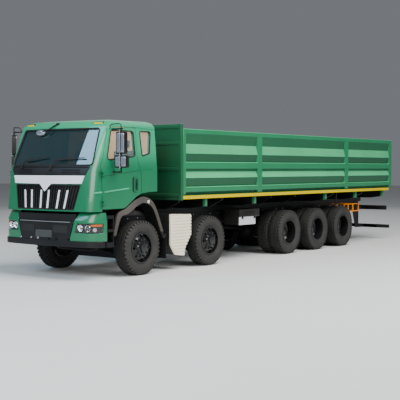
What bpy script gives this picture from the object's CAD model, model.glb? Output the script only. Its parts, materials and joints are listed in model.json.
"""Looks of a five-axle cargo truck with an open high-sided load body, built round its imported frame."""

import json
import logging
import math
from dataclasses import dataclass
from enum import Enum
from typing import Any, Callable, Iterable, Sequence

import bmesh
import bpy
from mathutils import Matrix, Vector

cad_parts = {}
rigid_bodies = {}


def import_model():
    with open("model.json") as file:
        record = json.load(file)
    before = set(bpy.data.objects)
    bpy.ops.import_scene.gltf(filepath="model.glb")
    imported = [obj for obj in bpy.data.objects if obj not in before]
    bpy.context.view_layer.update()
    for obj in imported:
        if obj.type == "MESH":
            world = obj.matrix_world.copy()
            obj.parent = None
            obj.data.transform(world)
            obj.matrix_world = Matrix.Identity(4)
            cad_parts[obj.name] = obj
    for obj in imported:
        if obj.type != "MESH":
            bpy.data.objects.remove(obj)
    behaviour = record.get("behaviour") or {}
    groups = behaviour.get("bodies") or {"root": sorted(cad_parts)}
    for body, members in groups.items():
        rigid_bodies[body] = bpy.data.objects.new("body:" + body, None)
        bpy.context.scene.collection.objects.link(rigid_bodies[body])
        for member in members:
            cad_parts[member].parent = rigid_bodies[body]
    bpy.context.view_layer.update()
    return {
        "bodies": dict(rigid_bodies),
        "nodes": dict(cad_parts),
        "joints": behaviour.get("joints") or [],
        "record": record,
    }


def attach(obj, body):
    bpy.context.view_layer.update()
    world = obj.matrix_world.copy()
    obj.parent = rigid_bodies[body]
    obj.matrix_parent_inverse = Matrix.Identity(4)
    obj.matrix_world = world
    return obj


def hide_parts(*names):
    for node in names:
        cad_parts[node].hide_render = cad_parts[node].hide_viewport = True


LOG = logging.getLogger("truck")
ROUND = 2.0 * math.pi
AXLES = (4.745, 2.545, -0.635, -1.995, -3.355)
HUB_Z = 0.522
BOW = 7.0

Pair = tuple[float, float]
Colour = tuple[float, float, float]
Point = tuple[float, float, float]
Obj = bpy.types.Object
Pieces = list[bpy.types.Object]
Tree = bpy.types.NodeTree
Node = bpy.types.Node
Socket = bpy.types.NodeSocket


def scaled(colour: Colour, share: float) -> Colour:
    """Colour times a number."""
    return tuple(c * share for c in colour)


def spaced(start: float, end: float, count: int) -> list[float]:
    """Values from start to end in equal steps, with both ends."""
    return [start + (end - start) * k / count for k in range(count + 1)]


def circle(count: int) -> list[Pair]:
    """Cosine and sine of equal steps round a circle."""
    return [(math.cos(ROUND * k / count), math.sin(ROUND * k / count)) for k in range(count)]


def link(obj: Obj) -> Obj:
    """Puts a new object into the scene, and returns it."""
    bpy.context.scene.collection.objects.link(obj)
    return obj


def shaped(obj: Obj) -> bpy.types.Mesh:
    """New mesh with an object's modified shape."""
    graph = bpy.context.evaluated_depsgraph_get()
    return bpy.data.meshes.new_from_object(obj.evaluated_get(graph), depsgraph=graph)


def new_tree(name: str, inputs: dict[str, str]) -> tuple[Tree, Node, Node]:
    """Makes a geometry tree with named inputs.

    Args:
        name: Name of the tree.
        inputs: Socket type by input name, beside the geometry.

    Returns:
        The tree, its input node and its output node.
    """
    tree = bpy.data.node_groups.new(name, "GeometryNodeTree")
    for label, kind in {"Geometry": "NodeSocketGeometry", **inputs}.items():
        tree.interface.new_socket(label, in_out="INPUT", socket_type=kind)
    tree.interface.new_socket("Geometry", in_out="OUTPUT", socket_type="NodeSocketGeometry")
    return tree, tree.nodes.new("NodeGroupInput"), tree.nodes.new("NodeGroupOutput")


class Sock:
    """A node tree's socket that takes part in Python expressions."""

    def __init__(self, tree: Tree, socket: Socket) -> None:
        """Wraps a socket of a tree."""
        self.tree = tree
        self.socket = socket

    def _math(self, operation: str, first: Any, second: Any = None) -> "Sock":
        """Adds a Math node on values.

        Args:
            operation: Name of the Math operation.
            first: First operand, a number or a Sock.
            second: Second operand, or None.

        Returns:
            The node's result.
        """
        node = self.tree.nodes.new("ShaderNodeMath")
        node.operation = operation
        for slot, value in zip(node.inputs, (first, second)):
            if isinstance(value, Sock):
                self.tree.links.new(value.socket, slot)
            elif value is not None:
                slot.default_value = value
        return Sock(self.tree, node.outputs[0])

    def __add__(self, other: Any) -> "Sock":
        """Sum."""
        return self._math("ADD", self, other)

    def __mul__(self, other: Any) -> "Sock":
        """Product."""
        return self._math("MULTIPLY", self, other)

    def __sub__(self, other: Any) -> "Sock":
        """Difference."""
        return self._math("SUBTRACT", self, other)

    def __rsub__(self, other: Any) -> "Sock":
        """Difference from a number, so that 1 - mask works."""
        return self._math("SUBTRACT", other, self)

    def __truediv__(self, other: Any) -> "Sock":
        """Quotient."""
        return self._math("DIVIDE", self, other)

    def cosine(self) -> "Sock":
        """Cosine of an angle."""
        return self._math("COSINE", self)

    def sine(self) -> "Sock":
        """Sine of an angle."""
        return self._math("SINE", self)

    def modulo(self, other: float) -> "Sock":
        """Remainder that stays positive."""
        return self._math("FLOORED_MODULO", self, other)

    def absolute(self) -> "Sock":
        """Value without its sign."""
        return self._math("ABSOLUTE", self)

    def above(self, limit: float) -> "Sock":
        """One where the value is over the limit, else nought."""
        return self._math("GREATER_THAN", self, limit)

    def below(self, limit: float) -> "Sock":
        """One where the value is under the limit, else nought."""
        return self._math("LESS_THAN", self, limit)

    def smooth(self, low: float, high: float) -> "Sock":
        """Nought at low, one at high, eased between them."""
        node = self.tree.nodes.new("ShaderNodeMapRange")
        node.interpolation_type = "SMOOTHSTEP"
        node.inputs["From Min"].default_value = low
        node.inputs["From Max"].default_value = high
        self.tree.links.new(self.socket, node.inputs["Value"])
        return Sock(self.tree, node.outputs["Result"])


class Shader:
    """A material with one Principled shader, and the ways to feed it."""

    MIX_INPUTS = (0, 6, 7)
    MIX_RESULT = 2

    def __init__(self, name: str) -> None:
        """Makes an empty material.

        Args:
            name: Name of the material.
        """
        self.material = bpy.data.materials.new(name)
        self.material.use_nodes = True
        self.tree = self.material.node_tree
        self.principled = self.tree.nodes["Principled BSDF"]
        self._axes: list[Sock] | None = None
        self._object: Sock | None = None

    def node(self, kind: str, settings: dict[str, Any] | None = None, **inputs: Any) -> Node:
        """Adds any other node.

        Args:
            kind: Type of the node.
            settings: The node's own settings, which are set first.
            inputs: Values or Socks for its sockets, with spaces in names as underscores.

        Returns:
            The node.
        """
        node = self.tree.nodes.new(kind)
        for key, value in (settings or {}).items():
            setattr(node, key, value)
        for key, value in inputs.items():
            self._feed(node.inputs[key.replace("_", " ")], value)
        return node

    def _feed(self, slot: Socket, value: Any) -> None:
        """Links a Sock to a socket, or sets its value."""
        if isinstance(value, Sock):
            self.tree.links.new(value.socket, slot)
        elif isinstance(value, tuple) and slot.type == "RGBA" and len(value) == 3:
            slot.default_value = (*value, 1.0)
        else:
            slot.default_value = value

    def out(self, node: Node, name: str | int = 0) -> Sock:
        """Output of a node as a Sock."""
        return Sock(self.tree, node.outputs[name])

    def place(self) -> Sock:
        """Object coordinates, which are the truck's own."""
        if self._object is None:
            self._object = self.out(self.node("ShaderNodeTexCoord"), "Object")
        return self._object

    def facing(self, axis: str) -> Sock:
        """How far a face looks along one axis, from -1 to 1."""
        split = self.node("ShaderNodeSeparateXYZ", Vector=self.out(self.node("ShaderNodeTexCoord"), "Normal"))
        return self.out(split, axis)

    def axes(self) -> list[Sock]:
        """The three object coordinates apart."""
        if self._axes is None:
            split = self.node("ShaderNodeSeparateXYZ", Vector=self.place())
            self._axes = [self.out(split, axis) for axis in "XYZ"]
        return self._axes

    def noise(self, scale: float, detail: float = 3.0, rough: float = 0.55, stretch: Point | None = None) -> Sock:
        """Noise over the object.

        Args:
            scale: Waves per metre.
            detail: Octaves.
            rough: Share of the finer octaves.
            stretch: Scale along each axis, or None.

        Returns:
            A value about 0.5.
        """
        where = self.place()
        if stretch is not None:
            where = self.out(self.node("ShaderNodeMapping", Vector=where, Scale=stretch))
        node = self.node("ShaderNodeTexNoise", Vector=where, Scale=scale, Detail=detail, Roughness=rough)
        return self.out(node, "Fac")

    def mix(self, share: Any, first: Any, second: Any) -> Sock:
        """Mixes two colours.

        Args:
            share: How much of the second, a number or a Sock.
            first: Colour or Sock.
            second: Colour or Sock.

        Returns:
            The mixed colour.
        """
        node = self.node("ShaderNodeMix", {"data_type": "RGBA"})
        for number, value in zip(self.MIX_INPUTS, (share, first, second)):
            self._feed(node.inputs[number], value)
        return self.out(node, self.MIX_RESULT)

    def bump(self, height: Sock, strength: float, distance: float) -> None:
        """Feeds the shader's Normal from a height.

        Args:
            height: Height as a value.
            strength: Strength of the bump.
            distance: Height of one unit, in metres.
        """
        node = self.node("ShaderNodeBump", Height=height, Strength=strength, Distance=distance)
        self.tree.links.new(node.outputs[0], self.principled.inputs["Normal"])

    def set(self, **values: Any) -> None:
        """Sets or links the shader's sockets, with spaces in names as underscores."""
        for key, value in values.items():
            self._feed(self.principled.inputs[key.replace("_", " ")], value)


class Grime(Enum):
    """How much road dust lies low on a finish."""

    CLEAN = 0.015
    LIGHT = 0.22
    ROAD = 0.45


DUST: Colour = (0.30, 0.27, 0.22)
DUST_FROM = 0.35
DUST_TO = 1.7
TYRE_DUST: Colour = (0.145, 0.138, 0.126)
UNSEEN: Colour = (0.008, 0.010, 0.009)
BLACK: Colour = (0.006, 0.006, 0.007)
BRIGHT_STEEL: Colour = (0.42, 0.43, 0.45)
DEEP_SHARE = 0.6


@dataclass(frozen=True)
class Paint:
    """Painted metal or moulded plastic with its own small variation, dust and grain."""

    BROAD_SCALE = 1.3
    FINE_SCALE = 26.0
    COAT_ROUGHNESS = 0.05

    name: str
    colour: Colour
    roughness: float = 0.35
    metallic: float = 0.0
    coat: float = 0.0
    grime: Grime = Grime.CLEAN
    grain: float = 0.0006
    grain_scale: float = 220.0
    fade: float = 0.12
    uneven: float = 0.08
    shine: float = 0.5
    glow: float = 0.0
    second: Colour | None = None
    where: Callable[[Sequence[Sock]], Sock] | None = None

    def build(self) -> bpy.types.Material:
        """Makes the material."""
        shader = Shader(self.name)
        height = shader.axes()[2]
        broad = shader.noise(self.BROAD_SCALE, 4.0)
        fine = shader.noise(self.FINE_SCALE, 5.0, 0.65)
        dark = scaled(self.colour, 1.0 - 2.0 * self.fade)
        pale = tuple(min(1.0, c * (1.0 + self.fade) + 0.02 * self.fade) for c in self.colour)
        tone = shader.mix(broad.smooth(0.3, 0.7), dark, pale)
        if self.second is not None and self.where is not None:
            tone = shader.mix(self.where(shader.axes()), tone, self.second)
        low = height.smooth(DUST_TO, DUST_FROM)
        dust = (low * 0.95 + 0.05) * fine.smooth(0.25, 0.85) * self.grime.value
        shader.set(
            Base_Color=shader.mix(dust, tone, DUST),
            Roughness=fine * self.uneven + dust * 0.45 + (self.roughness - self.uneven / 2.0),
            Metallic=self.metallic,
            Specular_IOR_Level=self.shine,
            Coat_Weight=self.coat,
            Coat_Roughness=self.COAT_ROUGHNESS,
            Emission_Color=tone,
            Emission_Strength=self.glow,
        )
        if self.grain > 0.0:
            shader.bump(shader.noise(self.grain_scale, 2.0) + broad * 0.6, 0.3, self.grain)
        return shader.material


@dataclass(frozen=True)
class WallPaint:
    """Green paint of the pressed walls: paler on faces that look up, darker under folds, with streaks and scuffs."""

    name: str
    colour: Colour
    bright: Colour
    shade: Colour
    streaks: float = 0.12
    hidden: Callable[[Sequence[Sock]], Sock] | None = None

    def build(self) -> bpy.types.Material:
        """Makes the material."""
        shader = Shader(self.name)
        height = shader.axes()[2]
        broad = shader.noise(0.9, 4.0)
        runs = shader.noise(5.0, 5.0, 0.7, stretch=(6.0, 6.0, 0.35))
        scuff = shader.noise(14.0, 6.0, 0.75, stretch=(0.4, 1.0, 1.6))
        up = shader.facing("Z")
        tone = shader.mix(up.smooth(0.06, 0.30), self.colour, self.bright)
        tone = shader.mix(up.smooth(-0.06, -0.30), tone, self.shade)
        tone = shader.mix(broad.smooth(0.35, 0.65) * 0.12, tone, self.shade)
        tone = shader.mix(runs.smooth(0.5, 0.85) * self.streaks, tone, self.bright)
        tone = shader.mix(scuff.smooth(0.68, 0.76) * 0.25, tone, self.shade)
        low = height.smooth(1.9, 1.1) * scuff.smooth(0.3, 0.8) * 0.15
        tone = shader.mix(low, tone, DUST)
        if self.hidden is not None:
            tone = shader.mix(self.hidden(shader.axes()), tone, UNSEEN)
        shader.set(Base_Color=tone, Roughness=runs * 0.16 + low * 0.3 + 0.34, Specular_IOR_Level=0.3)
        shader.bump(shader.noise(3.5, 3.0) + shader.noise(90.0, 2.0) * 0.12, 0.18, 0.003)
        return shader.material


@dataclass(frozen=True)
class Rubber:
    """Tyre and seal rubber, greyed by dust, which a tyre's tread sheds."""

    name: str
    colour: Colour
    dusty: float
    shed: float = 0.0

    def build(self) -> bpy.types.Material:
        """Makes the material."""
        shader = Shader(self.name)
        patch = shader.noise(7.0, 5.0, 0.65)
        fine = shader.noise(160.0, 2.0)
        wall = shader.facing("Y").absolute().smooth(0.35, 0.85)
        dust = (patch.smooth(0.2, 0.8) * 0.5 + 0.5) * (wall * self.shed + (1.0 - self.shed)) * self.dusty
        shader.set(
            Base_Color=shader.mix(dust, self.colour, TYRE_DUST),
            Roughness=patch * 0.16 + 0.62,
            Specular_IOR_Level=0.35,
        )
        shader.bump(fine, 0.3, 0.0015)
        return shader.material


@dataclass(frozen=True)
class Pane:
    """Window glass with a little film: dark where it looks forward, clearer at the sides."""

    name: str
    colour: Colour = (0.30, 0.40, 0.39)
    alpha: float = 0.16
    screen: Colour = (0.006, 0.024, 0.030)
    screen_alpha: float = 0.82
    screen_from: float = 5.55
    screen_half: float = 1.105

    def build(self) -> bpy.types.Material:
        """Makes the material."""
        shader = Shader(self.name)
        film = shader.noise(4.0, 5.0, 0.6)
        x, y, _ = shader.axes()
        ahead = x.above(self.screen_from) * y.absolute().below(self.screen_half)
        shader.set(
            Base_Color=shader.mix(ahead, self.colour, self.screen),
            Roughness=film * 0.04 + 0.02,
            Alpha=ahead * (self.screen_alpha - self.alpha) + film * 0.06 + self.alpha,
            Specular_IOR_Level=0.6,
            Coat_Weight=1.0,
            Coat_Roughness=0.02,
        )
        shader.material.surface_render_method = "BLENDED"
        return shader.material


@dataclass(frozen=True)
class Lens:
    """Coloured lamp lens with fine upright flutes."""

    name: str
    colour: Colour
    flute: float = 0.012
    alpha: float = 1.0
    glow: float = 0.0
    gloss: float = 1.0

    def build(self) -> bpy.types.Material:
        """Makes the material."""
        shader = Shader(self.name)
        along = shader.axes()[0] + shader.axes()[1] * 0.83
        ridge = (along / self.flute).modulo(1.0) - 0.5
        patch = shader.noise(30.0, 3.0)
        deep = scaled(self.colour, DEEP_SHARE)
        shader.set(
            Base_Color=shader.mix(ridge.absolute() * 1.4, deep, self.colour),
            Roughness=patch * 0.1 + 0.06,
            Specular_IOR_Level=self.gloss / 2.0,
            Coat_Weight=self.gloss,
            Coat_Roughness=0.03,
            Alpha=self.alpha,
            Emission_Color=self.colour,
            Emission_Strength=self.glow,
        )
        shader.bump(ridge.absolute(), 0.4, 0.002)
        return shader.material


@dataclass(frozen=True)
class Cloth:
    """Woven seat cloth with crossed threads."""

    name: str
    colour: Colour
    thread: float = 0.006

    def build(self) -> bpy.types.Material:
        """Makes the material."""
        shader = Shader(self.name)
        x, y, z = shader.axes()
        warp = ((y + x * 0.31) / self.thread).modulo(1.0) - 0.5
        weft = ((z + x * 0.57) / self.thread).modulo(1.0) - 0.5
        weave = warp.absolute() + weft.absolute()
        patch = shader.noise(9.0, 4.0)
        dark = scaled(self.colour, DEEP_SHARE)
        shader.set(
            Base_Color=shader.mix(weave * 0.55 + patch * 0.4, dark, self.colour),
            Roughness=patch * 0.1 + 0.8,
            Sheen_Weight=0.25,
        )
        shader.bump(weave, 0.5, 0.002)
        return shader.material


class Finishes:
    """All finishes of the truck, made once."""

    CAB = Paint("cab_green_gloss", (0.006, 0.150, 0.064), 0.30, coat=0.32, grain=0.0, fade=0.02, uneven=0.0,
                second=(0.020, 0.330, 0.160), where=lambda p: p[2].smooth(2.02, 2.42) * 0.8)
    CAB_EDGE = Paint("cab_green_edge", (0.032, 0.370, 0.185), 0.25, coat=0.4, grain=0.0, fade=0.02)
    CAB_DEEP = Paint("cab_green_deep", (0.002, 0.040, 0.017), 0.45, grain=0.0, fade=0.02)
    WALL = WallPaint("wall_green", (0.014, 0.175, 0.073), (0.068, 0.410, 0.180), (0.003, 0.066, 0.027))
    BOARD = WallPaint("board_green", (0.008, 0.090, 0.038), (0.020, 0.140, 0.060), (0.004, 0.045, 0.018))
    FLOOR = WallPaint("floor_green", (0.020, 0.180, 0.076), (0.040, 0.220, 0.100), (0.006, 0.078, 0.031),
                      hidden=lambda p: p[1].absolute().below(1.135) * p[2].below(1.4395))
    FRAME = Paint("frame_black", (0.007, 0.007, 0.008), 0.5, shine=0.25)
    BUMPER = Paint("bumper_black", BLACK, 0.42, grain=0.0010, shine=0.28)
    BUMPER_EDGE = Paint("bumper_edge", (0.17, 0.175, 0.185), 0.3, grain=0.0, fade=0.04)
    ARCH = Paint("arch_grey", (0.070, 0.063, 0.056), 0.55, grain=0.0012, shine=0.22, second=BLACK,
                 where=lambda p: 1 - p[0].below(5.583) * p[2].above(0.805) * p[1].absolute().above(1.16))
    RIM = Paint("rim_gloss_black", BLACK, 0.26, coat=0.25, fade=0.05, shine=0.3)
    ENGINE = Paint("engine_grey", (0.030, 0.030, 0.031), 0.6, grime=Grime.LIGHT, grain=0.002, shine=0.3)
    TANK = Paint("tank_grey", (0.33, 0.335, 0.335), 0.5, grime=Grime.ROAD)
    BOX = Paint("box_grey", (0.018, 0.017, 0.016), 0.6, shine=0.2, second=(0.62, 0.63, 0.65),
                where=lambda p: p[1].above(1.004) * p[2].below(0.951))
    YELLOW = Paint("rail_yellow", (0.60, 0.455, 0.0), 0.6, fade=0.0, shine=0.0, second=(0.003, 0.050, 0.020),
                   where=lambda p: p[2].above(1.487))
    CREAM = Paint("cover_cream", (0.88, 0.83, 0.64), 0.5, fade=0.04, glow=0.14, second=(0.012, 0.012, 0.012),
                  where=lambda p: p[1].below(1.115))
    ORANGE = Paint("rack_orange", (1.0, 0.27, 0.0), 0.5, shine=0.1, glow=0.10)
    SILVER = Paint("band_silver", (0.84, 0.86, 0.92), 0.30, metallic=0.15, coat=0.3, grain=0.0001, fade=0.02,
                   glow=0.16)
    STEEL = Paint("fitting_steel", BRIGHT_STEEL, 0.32, metallic=0.9, grime=Grime.LIGHT, fade=0.04)
    STUD = Paint("stud_steel", BRIGHT_STEEL, 0.32, metallic=0.9, fade=0.04, second=(0.008, 0.008, 0.009),
                 where=lambda p: p[1].above(0.0))
    MIRROR = Paint("mirror_back_grey", (0.30, 0.33, 0.39), 0.22, metallic=0.6, coat=0.6, fade=0.04)
    GRILLE = Paint("grille_black", (0.011, 0.011, 0.012), 0.5, grain=0.0008, shine=0.35)
    DASH = Paint("dash_grey", (0.026, 0.026, 0.028), 0.6, grain=0.0015, grain_scale=500.0)
    LINING = Paint("lining_cream", (0.92, 0.62, 0.34), 0.8, grain=0.001, grain_scale=400.0, fade=0.04, glow=0.60)
    CHROME = Paint("lamp_bright", (0.82, 0.83, 0.85), 0.12, metallic=1.0, fade=0.02)
    BLANK = Paint("plate_blank", (0.74, 0.75, 0.74), 0.45, grime=Grime.LIGHT, fade=0.04)
    PLATE = Paint("plate_dark", (0.040, 0.044, 0.046), 0.4, fade=0.04)
    TYRE = Rubber("tyre_rubber", (0.008, 0.008, 0.008), 0.22, shed=0.9)
    SEAL = Rubber("seal_rubber", (0.010, 0.010, 0.010), 0.04)
    GLASS = Pane("window_glass")
    CLEAR = Lens("lamp_clear", (0.30, 0.32, 0.34), 0.03, alpha=0.07)
    AMBER = Lens("lamp_amber", (0.62, 0.13, 0.0), glow=0.05, gloss=0.15)
    SIDE_AMBER = Lens("side_marker_amber", (0.14, 0.045, 0.0))
    MARKER = Lens("roof_marker_amber", (0.90, 0.64, 0.0), glow=0.25)
    RED = Lens("lamp_red", (0.55, 0.012, 0.01))
    WHITE = Lens("side_lamp_white", (0.90, 0.90, 0.87))
    SEAT = Cloth("seat_cloth", (0.10, 0.11, 0.11))

    _made: dict[str, bpy.types.Material] = {}

    @classmethod
    def of(cls, finish: Any) -> bpy.types.Material:
        """Material of a finish, made on first use."""
        if finish.name not in cls._made:
            cls._made[finish.name] = finish.build()
        return cls._made[finish.name]


class Axis(Enum):
    """Direction that an outline is pushed along or turned about."""

    X = 0
    Y = 1
    Z = 2


@dataclass(frozen=True)
class Edge:
    """How a piece's edges are softened."""

    width: float
    segments: int = 2
    angle: float = 35.0


class Mesh:
    """A mesh under construction, in the truck's own frame."""

    STEEP = 0.95
    ALONG = 0.9
    WELD = 1e-5

    def __init__(self) -> None:
        """Starts with nothing."""
        self.bm = bmesh.new()

    @staticmethod
    def at(axis: Axis, across: Sequence[float], along: float) -> Vector:
        """Point from two numbers across an axis and one along it, as X, Y, Z with the axis left out."""
        point = list(across)
        point.insert(axis.value, along)
        return Vector(point)

    def prism(self, axis: Axis, outline: Sequence[Sequence[float]], start: float, end: float) -> "Mesh":
        """Adds an outline pushed along an axis.

        Args:
            axis: Direction of the push.
            outline: Corner pairs, in X, Y, Z order without the axis.
            start: Where the push begins.
            end: Where it ends.

        Returns:
            This mesh.
        """
        return self.skin([[self.at(axis, p, where) for p in outline] for where in (start, end)])

    def block(self, low: Sequence[float], high: Sequence[float]) -> "Mesh":
        """Adds a block between two corners."""
        outline = [(low[0], low[1]), (high[0], low[1]), (high[0], high[1]), (low[0], high[1])]
        return self.prism(Axis.Z, outline, low[2], high[2])

    def tube(self, path: Sequence[Sequence[float]], radius: float, sides: int = 10, flat: float = 1.0) -> "Mesh":
        """Adds a bar along a path.

        Args:
            path: Points of the path.
            radius: Radius of the bar.
            sides: Sides of its section.
            flat: Share of the radius across the second direction of the section.

        Returns:
            This mesh.
        """
        points = [Vector(p) for p in path]
        rings = []
        guide = Vector((0.0, 0.0, 1.0))
        for i, point in enumerate(points):
            ahead = (points[min(i + 1, len(points) - 1)] - points[max(i - 1, 0)]).normalized()
            if abs(ahead.dot(guide)) > self.STEEP:
                guide = Vector((1.0, 0.0, 0.0)) if abs(ahead.x) < self.ALONG else Vector((0.0, 1.0, 0.0))
            side = ahead.cross(guide).normalized()
            guide = side.cross(ahead).normalized()
            rings.append([point + (side * c * flat + guide * s) * radius for c, s in circle(sides)])
        return self.skin(rings)

    def turned(self, axis: Axis, profile: Sequence[Pair], centre: Sequence[float], steps: int = 32,
               closed: bool = False) -> "Mesh":
        """Adds a profile turned about an axis.

        Args:
            axis: Direction of the axis.
            profile: Pairs of radius and place along the axis.
            centre: Where the axis crosses the plane across it.
            steps: Sides of the turned piece.
            closed: Whether the profile runs back to its start; else its ends are capped.

        Returns:
            This mesh.
        """
        rings = [self._ring(self.at(axis, (centre[0] + radius * c, centre[1] + radius * s), along)
                            for c, s in circle(steps)) for radius, along in profile]
        return self._join(rings + rings[:1], caps=False) if closed else self._join(rings)

    def skin(self, rows: Sequence[Sequence[Sequence[float]]], caps: bool = True) -> "Mesh":
        """Adds a skin through rows of points, each closed on itself.

        Args:
            rows: Rows with as many points each.
            caps: Whether the first and last row are closed with a face.

        Returns:
            This mesh.
        """
        return self._join([self._ring(row) for row in rows], caps)

    def _ring(self, points: Iterable[Sequence[float]]) -> list[bmesh.types.BMVert]:
        """Adds one row of corners."""
        return [self.bm.verts.new(p) for p in points]

    def _join(self, rings: list[list[bmesh.types.BMVert]], caps: bool = True) -> "Mesh":
        """Adds faces between neighbour rings, and over the two ends where caps is set."""
        for first, second in zip(rings, rings[1:]):
            for k in range(len(first)):
                j = (k + 1) % len(first)
                self.bm.faces.new((first[k], first[j], second[j], second[k]))
        if caps:
            self.bm.faces.new(rings[0][::-1])
            self.bm.faces.new(rings[-1])
        return self

    def mirrored(self) -> "Mesh":
        """Adds the same on the truck's other side."""
        copy = bmesh.ops.duplicate(self.bm, geom=self.bm.verts[:] + self.bm.edges[:] + self.bm.faces[:])
        verts = [g for g in copy["geom"] if isinstance(g, bmesh.types.BMVert)]
        bmesh.ops.scale(self.bm, vec=(1.0, -1.0, 1.0), verts=verts)
        return self

    def done(self, name: str, finish: Any, edge: Edge | None = None, smooth: bool = True) -> Obj:
        """Turns the mesh into an object.

        Args:
            name: Name of the object.
            finish: Its finish.
            edge: How its edges are softened, or None.
            smooth: Whether faces are shaded smooth, with sharp edges kept.

        Returns:
            The object, in the scene.
        """
        bmesh.ops.remove_doubles(self.bm, verts=self.bm.verts[:], dist=self.WELD)
        bmesh.ops.recalc_face_normals(self.bm, faces=self.bm.faces[:])
        mesh = bpy.data.meshes.new(name)
        self.bm.to_mesh(mesh)
        self.bm.free()
        mesh.materials.append(Finishes.of(finish))
        obj = link(bpy.data.objects.new(name, mesh))
        if edge is not None:
            Dress.soften(obj, edge)
        if smooth:
            Dress.shade(mesh)
            mesh.set_sharp_from_angle(angle=Dress.SHARP)
        return obj


class Dress:
    """Finishes objects and hangs them on the truck's bodies."""

    SHARP = math.radians(38.0)
    CRISP = math.radians(11.0)
    MERGE = 0.00005
    _smooth_trees: dict[float, Tree] = {}

    @staticmethod
    def shade(mesh: bpy.types.Mesh) -> None:
        """Shades all faces of a mesh smooth."""
        mesh.polygons.foreach_set("use_smooth", [True] * len(mesh.polygons))

    @staticmethod
    def soften(obj: Obj, edge: Edge) -> None:
        """Adds a bevel to an object's sharp edges."""
        bevel = obj.modifiers.new("soft_edges", "BEVEL")
        bevel.width = edge.width
        bevel.segments = edge.segments
        bevel.limit_method = "ANGLE"
        bevel.angle_limit = math.radians(edge.angle)

    @classmethod
    def smooth_tree(cls, limit: float) -> Tree:
        """Tree that shades a carried-over node smooth between its sharp edges."""
        if limit not in cls._smooth_trees:
            tree, start, end = new_tree("smooth_by_angle", {})
            clear = tree.nodes.new("GeometryNodeRemoveAttribute")
            clear.inputs["Name"].default_value = "custom_normal"
            faces = tree.nodes.new("GeometryNodeSetShadeSmooth")
            edges = tree.nodes.new("GeometryNodeSetShadeSmooth")
            edges.domain = "EDGE"
            edges.inputs["Shade Smooth"].default_value = False
            angle = tree.nodes.new("GeometryNodeInputMeshEdgeAngle")
            over = tree.nodes.new("FunctionNodeCompare")
            over.operation = "GREATER_THAN"
            over.inputs[1].default_value = limit
            tree.links.new(angle.outputs["Unsigned Angle"], over.inputs[0])
            tree.links.new(over.outputs[0], edges.inputs["Selection"])
            for first, second in ((start, clear), (clear, faces), (faces, edges), (edges, end)):
                tree.links.new(first.outputs[0], second.inputs[0])
            cls._smooth_trees[limit] = tree
        return cls._smooth_trees[limit]

    @classmethod
    def node(cls, frame: dict[str, Any], name: str, finish: Any, edge: Edge | None = None) -> None:
        """Gives a carried-over node its finish, merged corners and soft edges.

        Args:
            name: Name of the node.
            finish: Its finish.
            edge: How its edges are softened, or None.
        """
        obj = frame["nodes"][name]
        weld = obj.modifiers.new("merge", "WELD")
        weld.merge_threshold = cls.MERGE
        smooth = obj.modifiers.new("smooth", "NODES")
        smooth.node_group = cls.smooth_tree(cls.CRISP if isinstance(finish, WallPaint) else cls.SHARP)
        if edge is not None:
            cls.soften(obj, edge)
        obj.data.materials.clear()
        obj.data.materials.append(Finishes.of(finish))

    @staticmethod
    def hang(obj: Obj, body: str, slot: str, *replaced: str) -> None:
        """Hangs a piece on a body.

        Args:
            obj: The piece.
            body: Name of the body.
            slot: Name of the piece's slot.
            replaced: Nodes that the piece stands for.
        """
        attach(obj, body)
        if replaced:
            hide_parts(*replaced)
        LOG.info("%s rides on %s", obj.name, body)

    @classmethod
    def hang_all(cls, pieces: Iterable[Obj], body: str, slots: dict[str, str], rest: str = "chassis_black") -> None:
        """Hangs pieces on one body, each with its own name's slot or else the rest's."""
        for piece in pieces:
            cls.hang(piece, body, slots.get(piece.name, rest))


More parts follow.
